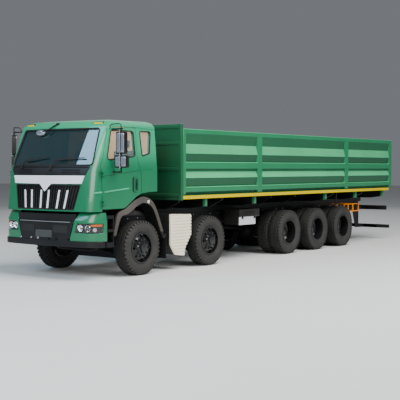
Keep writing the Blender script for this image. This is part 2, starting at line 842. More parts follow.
class Repeats:
    """Small pieces repeated by node trees, and turned into plain meshes."""

    _trees: dict[str, Tree] = {}

    @staticmethod
    def _end(tree: Tree, start: Node, end: Node, points: Socket, turn: Socket | None = None) -> None:
        """Puts the piece on points, turned or not, makes it real and gives it its material."""
        join = tree.links.new
        info = tree.nodes.new("GeometryNodeObjectInfo")
        info.transform_space = "ORIGINAL"
        join(start.outputs["Piece"], info.inputs["Object"])
        copies = tree.nodes.new("GeometryNodeInstanceOnPoints")
        join(points, copies.inputs["Points"])
        join(info.outputs["Geometry"], copies.inputs["Instance"])
        if turn is not None:
            euler = tree.nodes.new("FunctionNodeEulerToRotation")
            join(turn, euler.inputs[0])
            join(euler.outputs[0], copies.inputs["Rotation"])
        real = tree.nodes.new("GeometryNodeRealizeInstances")
        join(copies.outputs[0], real.inputs[0])
        material = tree.nodes.new("GeometryNodeSetMaterial")
        join(real.outputs[0], material.inputs["Geometry"])
        join(start.outputs["Finish"], material.inputs["Material"])
        join(material.outputs[0], end.inputs[0])

    @classmethod
    def _ring_tree(cls) -> Tree:
        """Tree that sets copies in a ring about an axis along Y."""
        if "ring" not in cls._trees:
            tree, start, end = new_tree("ring_of_pieces", {
                "Piece": "NodeSocketObject", "Finish": "NodeSocketMaterial", "Count": "NodeSocketInt",
                "Radius": "NodeSocketFloat", "Centre": "NodeSocketVector", "Phase": "NodeSocketFloat"})
            count, radius, phase = (Sock(tree, start.outputs[name]) for name in ("Count", "Radius", "Phase"))
            angle = Sock(tree, tree.nodes.new("GeometryNodeInputIndex").outputs[0]) * ROUND / count + phase
            spot, turn = tree.nodes.new("ShaderNodeCombineXYZ"), tree.nodes.new("ShaderNodeCombineXYZ")
            place, points = tree.nodes.new("ShaderNodeVectorMath"), tree.nodes.new("GeometryNodePoints")
            for source, target in (
                    ((angle.cosine() * radius).socket, spot.inputs["X"]),
                    ((angle.sine() * radius).socket, spot.inputs["Z"]),
                    (spot.outputs[0], place.inputs[0]),
                    (start.outputs["Centre"], place.inputs[1]),
                    (start.outputs["Count"], points.inputs["Count"]),
                    (place.outputs[0], points.inputs["Position"]),
                    ((angle * -1.0).socket, turn.inputs["Y"])):
                tree.links.new(source, target)
            cls._end(tree, start, end, points.outputs[0], turn.outputs[0])
            cls._trees["ring"] = tree
        return cls._trees["ring"]

    @classmethod
    def _spread_tree(cls) -> Tree:
        """Tree that sets copies on the corners of its mesh."""
        if "spread" not in cls._trees:
            tree, start, end = new_tree("pieces_on_points", {
                "Piece": "NodeSocketObject", "Finish": "NodeSocketMaterial"})
            cls._end(tree, start, end, start.outputs["Geometry"])
            cls._trees["spread"] = tree
        return cls._trees["spread"]

    @staticmethod
    def _baked(name: str, tree: Tree, points: Sequence[Point], finish: Any, piece: Obj, **values: Any) -> Obj:
        """Runs a tree on a new object and keeps the result as a plain mesh.

        Args:
            name: Name of the result.
            tree: The tree.
            points: Corners of the mesh that it starts from.
            finish: Finish of the result.
            piece: The object to repeat, which is removed at the end.
            values: The tree's other inputs.

        Returns:
            The result, in the scene.
        """
        host_mesh = bpy.data.meshes.new(name + "_points")
        host_mesh.from_pydata([tuple(p) for p in points], [], [])
        host = link(bpy.data.objects.new(name + "_host", host_mesh))
        modifier = host.modifiers.new("repeat", "NODES")
        modifier.node_group = tree
        values = {"Piece": piece, "Finish": Finishes.of(finish), **values}
        for item in tree.interface.items_tree:
            if item.in_out == "INPUT" and item.name in values:
                modifier[item.identifier] = values[item.name]
        mesh = shaped(host)
        mesh.name = name
        bpy.data.objects.remove(host)
        bpy.data.objects.remove(piece)
        return link(bpy.data.objects.new(name, mesh))

    @classmethod
    def ring(cls, name: str, piece: Obj, finish: Any, count: int, radius: float, centre: Point,
             phase: float = 0.0) -> Obj:
        """Repeats a piece in a ring about an axis along Y, its own +X outwards."""
        return cls._baked(name, cls._ring_tree(), [], finish, piece,
                          Count=count, Radius=radius, Centre=centre, Phase=phase)

    @classmethod
    def spread(cls, name: str, piece: Obj, finish: Any, points: Sequence[Point]) -> Obj:
        """Repeats a piece on points."""
        return cls._baked(name, cls._spread_tree(), points, finish, piece)

    @staticmethod
    def joined(name: str, pieces: Sequence[Obj]) -> Obj:
        """Joins pieces of one finish into the first, which takes the name."""
        work = bmesh.new()
        for piece in pieces:
            work.from_mesh(piece.data)
        first = pieces[0]
        work.to_mesh(first.data)
        work.free()
        for piece in pieces[1:]:
            bpy.data.objects.remove(piece)
        first.name = name
        first.data.name = name
        return first


class Side(Enum):
    """Side of the truck, as the sign of Y."""

    LEFT = 1
    RIGHT = -1

    @property
    def word(self) -> str:
        """The side's name in body names."""
        return self.name.lower()


@dataclass(frozen=True)
class Wheels:
    """Tyres with ribs, shoulder lugs and moulded rings, and the wheels' nuts, bolts and valves."""

    axles: tuple[float, ...] = AXLES
    front_y: float = 1.0525
    twin_y: float = 0.900
    twin_half: float = 0.1725
    height: float = HUB_Z
    lugs: int = 40
    lug_half: float = 0.023
    lug_sink: float = 0.0012
    lug_phase: float = 0.04
    section: tuple[Pair, ...] = (
        (0.2865, 0.112), (0.302, 0.113), (0.310, 0.121), (0.318, 0.127), (0.322, 0.1275), (0.330, 0.1345),
        (0.352, 0.1415), (0.356, 0.1395), (0.362, 0.1435), (0.396, 0.1475), (0.428, 0.1470), (0.432, 0.1450),
        (0.440, 0.1458), (0.466, 0.1410), (0.478, 0.1330), (0.490, 0.1250), (0.498, 0.1120), (0.500, 0.0900),
        (0.518, 0.0870), (0.522, 0.0840), (0.522, 0.0560), (0.505, 0.0530), (0.505, 0.0440), (0.522, 0.0410),
        (0.522, 0.0160), (0.506, 0.0140), (0.506, 0.0060), (0.512, 0.0040))
    lug: tuple[Pair, ...] = (
        (-0.056, 0.1440), (-0.030, 0.1430), (-0.008, 0.1330), (0.0, 0.1200), (0.0, 0.0950), (-0.024, 0.0930),
        (-0.034, 0.1200))
    nuts: int = 10
    nut_ring: float = 0.1675
    caps: int = 8
    cap_phase: float = 0.2

    def tyre(self, name: str, x: float, y: float) -> Obj:
        """Makes one tyre about its axle.

        Args:
            name: Name of the tyre.
            x: The axle's place along the truck.
            y: The tyre's middle.

        Returns:
            The tyre.
        """
        profile = [(r, y + w) for r, w in self.section] + [(r, y - w) for r, w in reversed(self.section)]
        body = Mesh().turned(Axis.Y, profile, (x, self.height), steps=72, closed=True)
        parts = [body.done(name, Finishes.TYRE)]
        for sign in (1, -1):
            piece = Mesh().prism(Axis.Z, [(r, sign * w) for r, w in self.lug], -self.lug_half, self.lug_half).done(
                name + "_lug", Finishes.TYRE, smooth=False)
            parts.append(Repeats.ring(name + "_lugs", piece, Finishes.TYRE, self.lugs, self.height - self.lug_sink,
                                      (x, y, self.height), phase=self.lug_phase * sign))
        return Repeats.joined(name, parts)

    def nut_set(self, name: str, x: float, y: float, side: Side, face: float) -> Obj:
        """Makes a ring of wheel nuts with washers and stud ends.

        Args:
            name: Name of the set.
            x: The axle's place along the truck.
            y: The wheel's middle.
            side: Side of the truck.
            face: Where the wheel's flange is, outwards from its middle.

        Returns:
            The nuts.
        """
        out = side.value
        piece = (Mesh().turned(Axis.Y, [(0.024, 0.0), (0.024, out * 0.004), (0.020, out * 0.006)], (0.0, 0.0), 16)
                 .turned(Axis.Y, [(0.0185, out * 0.005), (0.0185, out * 0.024), (0.0155, out * 0.028)], (0.0, 0.0), 6)
                 .turned(Axis.Y, [(0.010, out * 0.027), (0.010, out * 0.038), (0.008, out * 0.040)], (0.0, 0.0), 10)
                 .done(name + "_nut", Finishes.RIM))
        return Repeats.ring(name, piece, Finishes.RIM, self.nuts, self.nut_ring, (x, y + out * face, self.height))

    def cap_bolts(self, name: str, x: float, y: float, side: Side, ring: float, face: float) -> Obj:
        """Makes the ring of small bolts on a hub's cap."""
        out = side.value
        piece = (Mesh().turned(Axis.Y, [(0.0085, -out * 0.004), (0.0085, out * 0.007), (0.007, out * 0.009)],
                               (0.0, 0.0), 6).done(name + "_bolt", Finishes.RIM))
        return Repeats.ring(name, piece, Finishes.RIM, self.caps, ring, (x, y + out * face, self.height),
                            phase=self.cap_phase)

    def valve(self, name: str, x: float, y: float, side: Side, start: Point, end: Point) -> Obj:
        """Makes a valve stem with its cap, between two points measured from the wheel's middle."""
        base = Vector((x + start[0], y + side.value * start[1], self.height + start[2]))
        tip = Vector((x + end[0], y + side.value * end[1], self.height + end[2]))
        middle = base.lerp(tip, 0.75)
        return (Mesh().tube([base, middle], 0.004, 8).tube([middle, tip], 0.006, 8)
                .done(name, Finishes.CHROME))

    def build(self) -> None:
        """Makes every wheel and hangs it on its body."""
        for number, x in enumerate(self.axles, 1):
            for side in Side:
                word = f"a{number}_{side.word}"
                body = "wheel_" + word
                twin = number > 2
                middle = side.value * (self.twin_y if twin else self.front_y)
                offsets = (-self.twin_half, self.twin_half) if twin else (0.0,)
                tyres = [self.tyre(f"tread_tyre_{word}_{i}", x, middle + o) for i, o in enumerate(offsets)]
                tyre = Repeats.joined("tread_tyre_" + word, tyres)
                Dress.hang(tyre, body, "tyre_rubber", "tyre_" + word)
                face, ring, cap = (0.0180, 0.098, 0.160) if twin else (0.1180, 0.112, 0.145)
                fittings = Repeats.joined("wheel_nuts_" + word, [
                    self.nut_set("nuts_" + word, x, middle, side, face),
                    self.cap_bolts("cap_bolts_" + word, x, middle, side, ring, cap)])
                Dress.hang(fittings, body, "rim_black")
                stem = ((0.0, 0.10, 0.262), (0.0, 0.19, 0.235)) if twin else ((0.0, 0.085, 0.268), (0.0, 0.125, 0.250))
                Dress.hang(self.valve("valve_" + word, x, middle, side, *stem), body, "trim_silver")


@dataclass(frozen=True)
class CabForm:
    """Outer skin of the cab, so that trim lies on it."""

    CURVE = 5
    STEP = 0.1
    axle: float = AXLES[0]
    bow: float = BOW
    rows: tuple[tuple[float, float, float, float], ...] = (
        (1.253, 1.435, 1.220, 0.280), (2.000, 1.347, 1.220, 0.260), (2.834, 0.995, 1.150, 0.075),
        (2.905, 0.895, 1.075, 0.075), (2.935, 0.785, 0.975, 0.070))

    def section(self, z: float) -> tuple[float, float, float]:
        """Front place, half width and corner radius at a height."""
        pairs = list(zip(self.rows, self.rows[1:]))
        low, high = next((pair for pair in pairs if z <= pair[1][0]), pairs[-1])
        share = (z - low[0]) / (high[0] - low[0])
        front, half, radius = (a + (b - a) * share for a, b in zip(low[1:], high[1:]))
        return front, half, radius

    def corner(self, z: float) -> float:
        """Place of the corner arc's middle at a height."""
        front, half, radius = self.section(z)
        return self.axle + front - self.bow + math.sqrt((self.bow - radius) ** 2 - (half - radius) ** 2)

    def front_x(self, y: float, z: float) -> float:
        """Place of the front face at a point across the cab."""
        front, half, radius = self.section(z)
        if abs(y) <= self.bow * (half - radius) / (self.bow - radius):
            return self.axle + front - self.bow + math.sqrt(self.bow ** 2 - y ** 2)
        return self.corner(z) + math.sqrt(max(0.0, radius ** 2 - (abs(y) - half + radius) ** 2))

    def side_y(self, x: float, z: float) -> float:
        """Place of the side face at a point along the cab."""
        _, half, radius = self.section(z)
        ahead = x - self.corner(z)
        if ahead <= 0.0:
            return half
        return half - radius + math.sqrt(max(0.0, radius ** 2 - ahead ** 2))

    def on_front(self, y: float, z: float, out: float) -> Point:
        """Point over the front face."""
        return self.front_x(y, z) + out, y, z

    def on_side(self, x: float, z: float, out: float, side: Side) -> Point:
        """Point over a side face."""
        return x, side.value * (self.side_y(x, z) + out), z

    @staticmethod
    def loop(corners: Sequence[Pair], radius: float) -> list[Pair]:
        """Closed outline with rounded corners and points along its edges.

        Args:
            corners: Corners in order.
            radius: Radius of the rounding.

        Returns:
            The points, with the first one again at the end.
        """
        points: list[Vector] = []
        for i, corner in enumerate(corners):
            here = Vector(corner)
            before = (Vector(corners[i - 1]) - here).normalized()
            after = (Vector(corners[(i + 1) % len(corners)]) - here).normalized()
            reach = radius / math.tan(before.angle(after) / 2.0)
            start, end = here + before * reach, here + after * reach
            for t in spaced(0.0, 1.0, CabForm.CURVE):
                points.append(start * (1 - t) ** 2 + here * (2 * t * (1 - t)) + end * t ** 2)
        points.append(points[0])
        full: list[Pair] = []
        for first, second in zip(points, points[1:]):
            cuts = max(1, math.ceil((second - first).length / CabForm.STEP))
            full += [tuple(first.lerp(second, k / cuts)) for k in range(cuts)]
        return full + [tuple(points[-1])]

    @classmethod
    def plate(cls, low: Pair, high: Pair, radius: float) -> list[Pair]:
        """Outline of a plate between two corners, all four rounded."""
        return cls.loop([low, (high[0], low[1]), high, (low[0], high[1])], radius)[:-1]


@dataclass(frozen=True)
class CabTrim:
    """Seals, wipers, front mirror, roof lamps and drip rails of the cab."""

    form: CabForm = CabForm()
    screen: tuple[Pair, ...] = ((0.983, 2.770), (1.052, 2.097), (-1.052, 2.097), (-0.983, 2.770))
    quarter: tuple[Pair, ...] = ((4.799, 2.734), (4.483, 2.739), (4.545, 2.325), (4.768, 2.268))
    wipers: tuple[tuple[Pair, ...], ...] = (
        ((-0.715, 2.050), (-0.690, 2.115), (-0.660, 2.172), (-0.340, 2.210), (-0.660, 2.176), (-0.040, 2.246)),
        ((0.103, 2.018), (0.140, 2.095), (0.196, 2.180), (0.540, 2.216), (0.230, 2.206), (0.850, 2.228)))
    lamps: tuple[Pair, ...] = ((0.800, 0.985), (-0.985, -0.800))
    lamp_z: float = 2.868
    mirror_z: float = 2.712

    def seals(self) -> Pieces:
        """Makes the rubber round the windscreen and the quarter windows."""
        mesh = Mesh()
        mesh.tube([self.form.on_front(y, z, 0.001) for y, z in CabForm.loop(self.screen, 0.06)], 0.017, 8, 0.7)
        for side in Side:
            mesh.tube([self.form.on_side(x, z, 0.001, side) for x, z in CabForm.loop(self.quarter, 0.045)],
                      0.013, 8, 0.7)
        return [mesh.done("window_seals", Finishes.SEAL)]

    def wiper_set(self) -> Pieces:
        """Makes two wipers parked low on the windscreen."""
        mesh, over = Mesh(), self.form.on_front
        for pivot, bend, elbow, hold, start, end in self.wipers:
            mesh.tube([over(*pivot, 0.006), over(*pivot, 0.045)], 0.020, 12)
            mesh.tube([over(*pivot, 0.040), over(*bend, 0.042), over(*elbow, 0.042), over(*hold, 0.040)],
                      0.011, 8, 0.6)
            blade = list(zip(spaced(start[0], end[0], 8), spaced(start[1], end[1], 8)))
            for out, radius, flat in ((0.026, 0.010, 0.7), (0.012, 0.005, 1.0)):
                mesh.tube([over(y, z, out) for y, z in blade], radius, 6, flat)
        return [mesh.done("wipers", Finishes.SEAL)]

    def front_mirror(self) -> Pieces:
        """Makes the mirror that hangs before the windscreen on a bent arm."""
        foot = self.form.on_front(-0.102, 2.862, 0.0)
        head = self.form.on_front(-0.430, 2.722, 0.075)
        arm = (Mesh().tube([foot, (foot[0] + 0.06, -0.115, 2.850), (foot[0] + 0.115, -0.215, 2.775),
                            (head[0], -0.33, 2.738), (head[0], -0.40, 2.735)], 0.014, 10)
               .turned(Axis.X, [(0.040, foot[0] - 0.045), (0.040, foot[0] + 0.012), (0.030, foot[0] + 0.022)],
                       (-0.102, 2.858), 20))

        def oval(rings: Iterable[Point]) -> Mesh:
            """Oval skin through rings of depth, half width and half height."""
            return Mesh().skin([[(head[0] + out, head[1] + wide * c, self.mirror_z + tall * s) for c, s in circle(24)]
                                for out, wide, tall in rings])

        shell = oval((out, 0.115 * size, 0.055 * size)
                     for out, size in ((0.02, 0.45), (0.012, 0.8), (-0.005, 1.0), (-0.040, 1.0)))
        glass = oval((out, 0.107, 0.047) for out in (-0.039, -0.0425))
        return [arm.done("front_mirror_arm", Finishes.BUMPER), shell.done("front_mirror_shell", Finishes.MIRROR),
                glass.done("front_mirror_glass", Finishes.CHROME)]

    def roof_lamps(self) -> Pieces:
        """Makes two amber lamps at the roof's front corners, on black bases."""
        lens, base = Mesh(), Mesh()
        for start, end in self.lamps:
            for mesh, grow, out in ((base, 0.012, 0.006), (lens, 0.0, 0.024)):
                ring = [(-0.03, -0.020 - grow), (out, -0.014 - grow / 2), (out, 0.012 + grow / 2),
                        (-0.03, 0.018 + grow)]
                mesh.skin([[(self.form.front_x(y, self.lamp_z) + dx, y, self.lamp_z + dz) for dx, dz in ring]
                           for y in spaced(start - grow, end + grow, 6)])
        return [base.done("roof_lamp_bases", Finishes.BUMPER),
                lens.done("roof_lamp_lenses", Finishes.MARKER, Edge(0.005))]

    def drip_rails(self) -> Pieces:
        """Makes the gutters over the doors."""
        mesh = Mesh()
        for side in Side:
            mesh.tube([self.form.on_side(x, 2.822 - 0.004 * abs(k - 7), 0.003, side)
                       for k, x in enumerate(spaced(4.385, 5.545, 12))], 0.011, 8, 0.8)
        return [mesh.done("drip_rails", Finishes.CAB)]

    def swages(self) -> Pieces:
        """Makes the pale swage lines on the cab's front corners, in line with the doors' own."""
        mesh = Mesh()
        for side in Side:
            mesh.tube([self.form.on_side(x, z, -0.001, side)
                       for x, z in zip(spaced(5.885, 6.021, 8), spaced(1.6036, 1.5916, 8))], 0.015, 8, 0.8)
        return [mesh.done("corner_swages", Finishes.CAB_EDGE)]

    def cowl(self) -> Pieces:
        """Makes the raised lips on the black cowl."""
        lips = Mesh()
        for start, end in ((-0.78, -0.40), (0.40, 0.82)):
            for z in (2.006, 1.960):
                lips.tube([self.form.on_front(y, z, 0.008) for y in spaced(start, end, 6)], 0.010, 8, 0.6)
        lips.tube([self.form.on_front(y, 2.058, 0.008) for y in spaced(-0.98, 0.98, 16)], 0.012, 8, 0.5)
        return [lips.done("cowl_lips", Finishes.BUMPER)]

    def build(self) -> None:
        """Makes all of it and hangs it on the cab."""
        slots = {"roof_lamp_lenses": "lamp_clear", "drip_rails": "cab_green", "corner_swages": "cab_green",
                 "front_mirror_glass": "trim_silver", "front_mirror_shell": "trim_silver"}
        for make in (self.seals, self.wiper_set, self.front_mirror, self.roof_lamps, self.drip_rails, self.swages,
                     self.cowl):
            Dress.hang_all(make(), "cab", slots)


@dataclass(frozen=True)
class DoorTrim:
    """Handle, window rubber, inner panel and mirror faces of a door."""

    form: CabForm = CabForm()
    window: tuple[Pair, ...] = ((5.593, 2.740), (4.980, 2.728), (4.967, 2.265), (5.745, 2.190))
    handle: tuple[float, float, float, float] = (4.930, 5.062, 1.600, 1.872)
    mirror_x: float = 5.595
    lines: tuple[tuple[Pair, Pair], ...] = (
        ((5.835, 1.608), (5.176, 1.666)), ((5.835, 1.896), (4.905, 1.992)))
    heads: tuple[Point, ...] = ((0.210, 0.400, 2.500), (0.280, 0.225, 2.160))
    fold: float = math.radians(53.0)
    skin_y: float = 1.220

    def seal(self, side: Side) -> Obj:
        """Makes the rubber round the door's window."""
        path = [self.form.on_side(x, z, 0.001, side) for x, z in CabForm.loop(self.window, 0.06)]
        return Mesh().tube(path, 0.013, 8, 0.7).done("door_seal_" + side.word, Finishes.SEAL)

    def grip(self, side: Side) -> Pieces:
        """Makes the upright black handle in its dished plate."""
        low_x, high_x, low_z, high_z = self.handle
        plate = CabForm.plate((low_x, low_z), (high_x, high_z), 0.045)
        out, mid = side.value, (low_x + high_x) / 2
        rim = (Mesh().prism(Axis.Y, plate, out * 1.2195, out * 1.2255)
               .tube([(x, out * 1.226, z) for x, z in plate + plate[:1]], 0.006, 6))
        bar = Mesh().tube([(mid - 0.012, out * y, z) for y, z in (
            (1.222, low_z + 0.03), (1.243, low_z + 0.05), (1.248, (low_z + high_z) / 2), (1.243, high_z - 0.05),
            (1.222, high_z - 0.03))], 0.015, 10, 0.8)
        lock = Mesh().turned(Axis.Y, [(0.011, out * 1.224), (0.011, out * 1.230), (0.009, out * 1.231)],
                             (mid + 0.028, low_z + 0.055), 16)
        return [rim.done("handle_plate_" + side.word, Finishes.SEAL),
                bar.done("handle_grip_" + side.word, Finishes.BUMPER),
                lock.done("door_lock_" + side.word, Finishes.CHROME)]

    def swages(self, side: Side) -> Pieces:
        """Makes the pale lower swage line and fills the upper crease, which stays in shade."""
        made = []
        kinds = (("swage", Finishes.CAB_EDGE, -0.001, 0.015), ("crease", Finishes.CAB_DEEP, -0.0075, 0.010))
        for ((low_x, low_z), (high_x, high_z)), (word, finish, out, radius) in zip(self.lines, kinds):
            path = [self.form.on_side(x, z, out, side)
                    for x, z in zip(spaced(low_x, high_x, 10), spaced(low_z, high_z, 10))]
            made.append(Mesh().tube(path, radius, 8, 0.8).done(f"door_{word}_{side.word}", finish))
        return made

    def lining(self, side: Side) -> Pieces:
        """Makes the inner panel with its armrest and pull."""
        inner = 1.160
        panel = CabForm.loop([(5.010, 1.640), (5.560, 1.560), (5.560, 2.130), (5.010, 2.190)], 0.05)[:-1]
        skin = Mesh().prism(Axis.Y, panel, side.value * inner, side.value * (inner - 0.010))
        rest = Mesh().prism(Axis.Y, [(5.060, 1.905), (5.420, 1.905), (5.460, 1.950), (5.420, 1.975), (5.060, 1.970)],
                            side.value * (inner - 0.008), side.value * (inner - 0.055))
        return [skin.done("door_panel_" + side.word, Finishes.LINING, Edge(0.003)),
                rest.done("door_armrest_" + side.word, Finishes.DASH, Edge(0.010, 3))]

    def mirrors(self, side: Side) -> Pieces:
        """Makes the mirrors' glass, glossy backs, front rod and top loop."""
        reach, fold = (0.190, 0.0) if side is Side.LEFT else (0.2258, self.fold)
        post_y = self.skin_y + reach

        def spot(ahead: float, across: float, z: float) -> Point:
            """Point of a mirror head, turned by its fold."""
            return (self.mirror_x + ahead * math.cos(fold) - across * math.sin(fold),
                    side.value * (post_y + ahead * math.sin(fold) + across * math.cos(fold)), z)

        glass, backs, rod = Mesh(), Mesh(), Mesh()
        for wide, tall, mid in self.heads:
            glass_y, glass_z = wide / 2 - 0.014, tall / 2 - 0.014
            outline = CabForm.plate((-glass_y, mid - glass_z), (glass_y, mid + glass_z), 0.025)
            glass.skin([[spot(x, y, z) for y, z in outline] for x in (-0.054, -0.058)])
            for low, high in ((-wide / 2 + 0.012, -0.010), (0.010, wide / 2 - 0.012)):
                middle, back_z = (low + high) / 2, tall / 2 - 0.022
                half = CabForm.plate((low, mid - back_z), (high, mid + back_z), 0.022)
                backs.skin([[spot(x, middle + (y - middle) * s, mid + (z - mid) * (0.5 + 0.5 * s)) for y, z in half]
                            for x, s in ((0.024, 1.0), (0.029, 0.94), (0.034, 0.75), (0.036, 0.45))])
        rod.tube([spot(0.040, 0.0, z) for z in (2.035, 2.30, 2.55, 2.73)], 0.009, 10)
        for z in (2.06, 2.26, 2.33, 2.66):
            rod.tube([spot(0.020, 0.0, z), spot(0.046, 0.0, z)], 0.013, 10)
        loop = Mesh().tube([(x, side.value * y, z) for x, y, z in (
            (5.640, 1.176, 2.752), (5.650, 1.196, 2.815), (5.648, 1.235, 2.838), (5.620, post_y - 0.03, 2.846),
            (self.mirror_x + 0.004, post_y, 2.830), (self.mirror_x, post_y, 2.765))], 0.009, 10)
        return [glass.done("mirror_glass_" + side.word, Finishes.CHROME),
                backs.done("mirror_backs_" + side.word, Finishes.MIRROR),
                rod.done("mirror_rod_" + side.word, Finishes.STEEL),
                loop.done("mirror_loop_" + side.word, Finishes.BUMPER)]

    def build(self) -> None:
        """Makes both doors' trim and hangs it."""
        slots = {"door_swage": "cab_green", "door_crease": "cab_green", "door_lock": "trim_silver",
                 "door_panel": "seat_cloth", "door_armrest": "dash_grey", "mirror_glass": "trim_silver",
                 "mirror_backs": "trim_silver", "mirror_rod": "trim_silver"}
        for side in Side:
            Dress.hang_all(
                [self.seal(side), *self.swages(side), *self.grip(side), *self.lining(side), *self.mirrors(side)],
                "door_" + side.word, {f"{name}_{side.word}": slot for name, slot in slots.items()})


@dataclass(frozen=True)
class CabInside:
    """Cream wall and roof lining, rear blind and padded seats."""

    axle: float = AXLES[0]
    back_x: float = 4.402
    seats: tuple[Pair, ...] = ((-0.560, 0.520), (0.520, 0.560))
    shrink: float = 0.010
    swell: float = 0.016
    voxel: float = 0.014
    quick_voxel: float = 0.03
    frames: int = 20
    channel: float = 0.016
    channel_depth: float = 0.008

    def lining(self) -> Pieces:
        """Makes the back wall's lining, its drawn blind and the roof's lining."""
        low, high = self.back_x, self.back_x + 0.012
        wall = (Mesh().prism(Axis.X, [(-1.145, 1.670), (1.145, 1.670), (1.145, 2.060), (1.135, 2.230), (-1.135, 2.230),
                                      (-1.145, 2.060)], low, high)
                .prism(Axis.X, [(-1.100, 2.670), (1.100, 2.670), (1.088, 2.780), (-1.088, 2.780)], low, high))
        for side in Side:
            wall.prism(Axis.X, [(side.value * y, z) for y, z in (
                (0.730, 2.228), (1.135, 2.228), (1.100, 2.672), (0.730, 2.672))], low, high)
        folds = [(self.back_x + 0.004 + 0.010 * (k % 2), y) for k, y in enumerate(spaced(-0.735, 0.735, 60))]
        outline = folds + [(x + 0.004, y) for x, y in reversed(folds)]
        blind = Mesh().prism(Axis.Z, outline, 2.225, 2.675)
        roof = Mesh().prism(Axis.Z, [(4.420, -0.96), (5.380, -0.96), (5.500, -0.80), (5.520, 0.0), (5.500, 0.80),
                                     (5.380, 0.96), (4.420, 0.96)], 2.838, 2.850)
        return [wall.done("back_lining", Finishes.LINING, Edge(0.004)),
                blind.done("rear_blind", Finishes.LINING, smooth=False),
                roof.done("roof_lining", Finishes.LINING, Edge(0.004))]

    def pad(self, name: str, outline: Sequence[Pair], y: float, half: float,
            channels: Sequence[float] = ()) -> Obj:
        """Makes one padded piece from its side outline, swollen by simulation.

        Args:
            name: Name of the piece.
            outline: Corners along the cab and upwards.
            y: Its middle across the cab.
            half: Its half width.
            channels: Places across it, as shares of the half width, of sewn channels.

        Returns:
            The pad.
        """
        middle = sum((Vector(p) for p in outline), Vector((0.0, 0.0))) / len(outline)
        small = [tuple(Vector(p) + (middle - Vector(p)).normalized() * self.shrink) for p in outline]
        obj = Mesh().prism(Axis.Y, small, y - half + self.shrink, y + half - self.shrink).done(name, Finishes.SEAT)
        remesh = obj.modifiers.new("even", "REMESH")
        remesh.mode = "VOXEL"
        remesh.voxel_size = self.voxel
        self.apply(obj)
        self.inflate(obj)
        self.sew(obj, y, half, channels)
        finer = obj.modifiers.new("finer", "SUBSURF")
        finer.levels = finer.render_levels = 1
        Dress.shade(obj.data)
        return obj

    @staticmethod
    def apply(obj: Obj) -> None:
        """Turns an object's modified shape into its own mesh."""
        mesh = shaped(obj)
        obj.modifiers.clear()
        old, obj.data = obj.data, mesh
        bpy.data.meshes.remove(old)
        mesh.name = obj.name

    def inflate(self, obj: Obj) -> None:
        """Swells a pad with cloth under pressure, and caps how far each point moves."""
        start = [v.co.copy() for v in obj.data.vertices]
        cloth = obj.modifiers.new("pressure", "CLOTH")
        settings = cloth.settings
        settings.quality = 5
        settings.mass = 0.3
        settings.tension_stiffness = settings.compression_stiffness = 15.0
        settings.bending_stiffness = 0.5
        settings.use_pressure = True
        settings.uniform_pressure_force = 4.0
        settings.effector_weights.gravity = 0.0
        cloth.point_cache.frame_start, cloth.point_cache.frame_end = 1, self.frames
        scene = bpy.context.scene
        for number in range(1, self.frames + 1):
            scene.frame_set(number)
        self.apply(obj)
        scene.frame_set(1)
        for vertex, before in zip(obj.data.vertices, start):
            move = vertex.co - before
            if move.length > self.swell:
                vertex.co = before + move * (self.swell / move.length)

    def sew(self, obj: Obj, y: float, half: float, channels: Sequence[float]) -> None:
        """Pulls sewn channels into a pad."""
        centre = sum((v.co for v in obj.data.vertices), Vector()) / len(obj.data.vertices)
        for vertex in obj.data.vertices:
            near = min((abs((vertex.co.y - y) / half - c) * half for c in channels), default=1.0)
            if near < self.channel:
                pull = centre - vertex.co
                pull.y = 0.0
                vertex.co += pull.normalized() * self.channel_depth * (1.0 - near / self.channel)

    def seat(self, number: int, y: float, wide: float) -> Pieces:
        """Makes one seat: cushion, back and headrest as pads, on a covered plinth."""
        half, x = wide / 2, self.axle
        word = f"{number}"
        cushion = self.pad("seat_cushion_" + word, [
            (x - 0.19, 1.712), (x + 0.29, 1.712), (x + 0.325, 1.760), (x + 0.300, 1.818), (x - 0.10, 1.800),
            (x - 0.19, 1.790)], y, half, (-0.5, 0.5))
        back = self.pad("seat_back_" + word, [
            (x - 0.215, 1.815), (x - 0.105, 1.835), (x - 0.150, 2.10), (x - 0.205, 2.405), (x - 0.300, 2.395)],
            y, half - 0.012, (-0.55, 0.55))
        head = self.pad("headrest_" + word, [
            (x - 0.268, 2.425), (x - 0.215, 2.425), (x - 0.228, 2.600), (x - 0.296, 2.595)], y, 0.128)
        stand = Mesh().prism(Axis.Y, [(x - 0.185, 1.640), (x + 0.175, 1.590), (x + 0.195, 1.706), (x - 0.195, 1.706)],
                             y - 0.145, y + 0.145).done("seat_stand_" + word, Finishes.DASH, Edge(0.008))
        rods = Mesh()
        for across in (-0.06, 0.06):
            rods.tube([(x - 0.250, y + across, 2.390), (x - 0.243, y + across, 2.440)], 0.007, 8)
        return [cushion, back, head, stand, rods.done("headrest_rods_" + word, Finishes.CHROME)]

    def build(self) -> None:
        """Makes the inside and hangs it on the cab."""
        Dress.hang_all(self.lining(), "cab", {}, "seat_cloth")
        for number, (y, wide) in enumerate(self.seats, 1):
            *pads, stand, rods = self.seat(number, y, wide)
            for piece in pads:
                Dress.hang(piece, "cab", "seat_cloth", "seats")
            Dress.hang_all((stand, rods), "cab", {}, "dash_grey")


